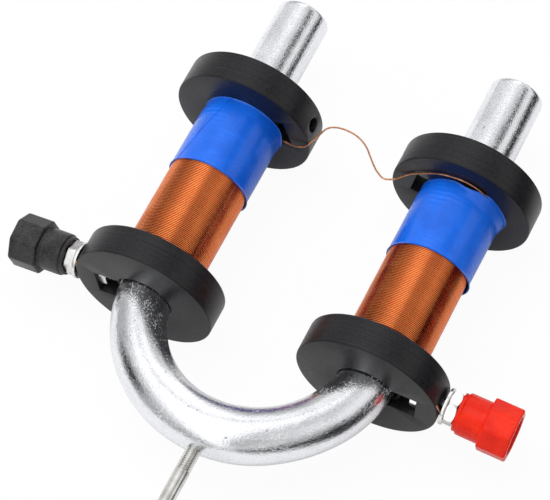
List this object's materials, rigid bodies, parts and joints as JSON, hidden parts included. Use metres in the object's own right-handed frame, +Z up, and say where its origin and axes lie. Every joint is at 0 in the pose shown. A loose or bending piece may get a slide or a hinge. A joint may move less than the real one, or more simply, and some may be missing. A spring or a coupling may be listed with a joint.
{
  "type": "horseshoe electromagnet",
  "caption": "Horseshoe electromagnet: a round bar bent into a U with a wound bobbin on each leg, binding posts with screw knobs and a threaded mounting rod.",
  "frame": {"origin": "midway between the legs and between the two ends, on the plane the four flange rims rest on", "axes": "+Y from the mounting rod to the poles, +X from the black knob to the red knob, +Z up"},
  "size_m": [0.2114, 0.274, 0.058],
  "materials": {
    "bar_metal": "bright zinc plating, mottled and lightly pitted",
    "rod_metal": "zinc plated",
    "plated_steel": "bright plating",
    "bush_brass": "turned",
    "flange_plastic": "matt black, fine turning lines on the rim",
    "tube_plastic": "matt black",
    "inner_copper": "enamelled copper, deep red-brown",
    "winding_copper": "enamelled copper wire, close wound",
    "wire_copper": "enamelled copper wire",
    "blue_tape": "glossy insulating tape",
    "black_plastic": "satin black",
    "red_plastic": "glossy red"
  },
  "bodies": {
    "base": {"core": "bar_metal", "suspension_rod": "rod_metal", "left_bobbin_tube": "tube_plastic", "right_bobbin_tube": "tube_plastic", "left_yoke_flange": "flange_plastic", "right_yoke_flange": "flange_plastic", "left_pole_flange": "flange_plastic", "right_pole_flange": "flange_plastic", "left_inner_winding": "inner_copper", "right_inner_winding": "inner_copper", "left_outer_winding": "winding_copper", "right_outer_winding": "winding_copper", "left_tape": "blue_tape", "right_tape": "blue_tape", "left_lead_wire": "wire_copper", "right_lead_wire": "wire_copper", "link_wire": "wire_copper", "left_stud": "plated_steel", "right_stud": "plated_steel", "left_inner_nut": "plated_steel", "right_inner_nut": "plated_steel", "left_washer": "plated_steel", "right_washer": "plated_steel", "left_outer_nut": "plated_steel", "right_outer_nut": "plated_steel"},
    "left_bush_body": {"left_bush": "bush_brass"},
    "left_knob_body": {"left_knob": "black_plastic"},
    "right_bush_body": {"right_bush": "bush_brass"},
    "right_knob_body": {"right_knob": "red_plastic"}
  },
  "joints": [
    {"name": "left_knob_travel", "type": "slide", "parent": "base", "child": "left_bush_body", "axis": [-0.9962, 0, -0.0872], "range_m": [0, 0.0041]},
    {"name": "left_knob_turn", "type": "hinge", "parent": "left_bush_body", "child": "left_knob_body", "pos_m": [-0.08217, -0.0004, 0.02592], "axis": [-0.9962, 0, -0.0872], "range_deg": [0, 1440]},
    {"name": "right_knob_travel", "type": "slide", "parent": "base", "child": "right_bush_body", "axis": [0.9962, 0, -0.0872], "range_m": [0, 0.0041]},
    {"name": "right_knob_turn", "type": "hinge", "parent": "right_bush_body", "child": "right_knob_body", "pos_m": [0.08217, -0.0004, 0.02592], "axis": [0.9962, 0, -0.0872], "range_deg": [0, 1440]}
  ],
  "couplings": [
    {"joint": "left_knob_travel", "follows": "left_knob_turn", "m_per_rad": 0.00015915},
    {"joint": "right_knob_travel", "follows": "right_knob_turn", "m_per_rad": 0.00015915}
  ]
}
